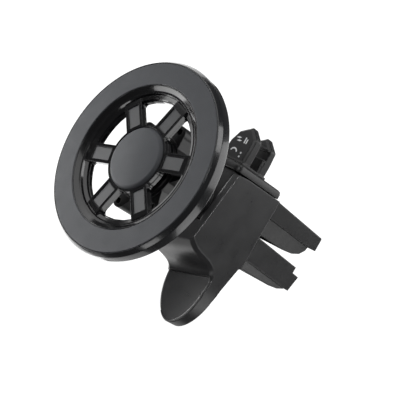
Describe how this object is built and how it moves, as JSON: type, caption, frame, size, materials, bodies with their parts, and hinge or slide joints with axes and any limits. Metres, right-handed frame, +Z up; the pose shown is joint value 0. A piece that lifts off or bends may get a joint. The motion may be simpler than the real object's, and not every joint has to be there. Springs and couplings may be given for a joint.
{
  "type": "car vent phone mount",
  "caption": "Magnetic ring phone mount with an open spoked wheel on a ball joint, carried by a spring-lever clamp for an air vent blade, with a cable clip on top.",
  "frame": {"origin": "root of the slot between the jaws that takes the vent blade, on the plane of symmetry", "axes": "+Y into the vent, -Y towards the driver and the phone, +Z up, +X to the driver's right"},
  "size_m": [0.06, 0.0817, 0.0665],
  "materials": {
    "soft_touch_grey": "soft-touch matte coating, blue-grey",
    "gloss_charcoal": "glossy moulded edge with a polished bevel",
    "gloss_black": "glossy moulded black",
    "satin_grey": "satin grey inlay",
    "tough_black": "glass-filled nylon, fine grain",
    "charcoal_plastic": "semi-gloss moulded charcoal plastic",
    "black_rubber": "ribbed soft rubber",
    "white_nylon": "natural acetal",
    "plated_steel": "zinc-plated steel",
    "dark_screw": "blackened screw steel",
    "spring_steel": "bright spring wire",
    "nickel_magnet": "nickel-plated sintered magnet"
  },
  "bodies": {
    "clamp": {"ball_stud": "tough_black", "stud_nut": "plated_steel", "clamp_core": "charcoal_plastic", "upper_jaw_pad": "black_rubber", "top_cover": "charcoal_plastic", "cover_screws": "dark_screw", "cable_clip": "charcoal_plastic", "pivot_pin": "plated_steel", "pin_washers": "plated_steel", "torsion_spring": "spring_steel"},
    "tilt_seat": {"ball_seat_front": "white_nylon"},
    "swing_seat": {"ball_seat_rear": "white_nylon"},
    "head": {"face_pad": "soft_touch_grey", "ring_housing": "gloss_charcoal", "shield_ring": "plated_steel", "magnet_segments": "nickel_magnet", "spoke_wheel": "gloss_black", "spoke_panels": "satin_grey", "hub_cap": "soft_touch_grey", "hub_screws": "dark_screw", "socket_collet": "tough_black"},
    "nut": {"lock_nut": "tough_black"},
    "lever": {"clamp_lever": "charcoal_plastic", "lower_jaw_pad": "black_rubber"}
  },
  "joints": [
    {"name": "head_tilt", "type": "hinge", "parent": "clamp", "child": "tilt_seat", "pos_m": [0, -0.0405, 0], "axis": [1, 0, 0], "range_deg": [-22, 22]},
    {"name": "head_swing", "type": "hinge", "parent": "tilt_seat", "child": "swing_seat", "pos_m": [0, -0.0405, 0], "axis": [0, 0, 1], "range_deg": [-22, 22]},
    {"name": "head_spin", "type": "hinge", "parent": "swing_seat", "child": "head", "pos_m": [0, -0.0405, 0], "axis": [0, -1, 0], "continuous": true},
    {"name": "nut_turn", "type": "hinge", "parent": "head", "child": "nut", "pos_m": [0, -0.0405, 0], "axis": [0, 1, 0], "range_deg": [0, 180]},
    {"name": "lever_open", "type": "hinge", "parent": "clamp", "child": "lever", "pos_m": [0, -0.0175, 0.008], "axis": [-1, 0, 0], "range_deg": [0, 8], "stiffness_Nm_per_rad": 0.35, "springref_deg": -28.65, "deforming": ["torsion_spring"]}
  ]
}
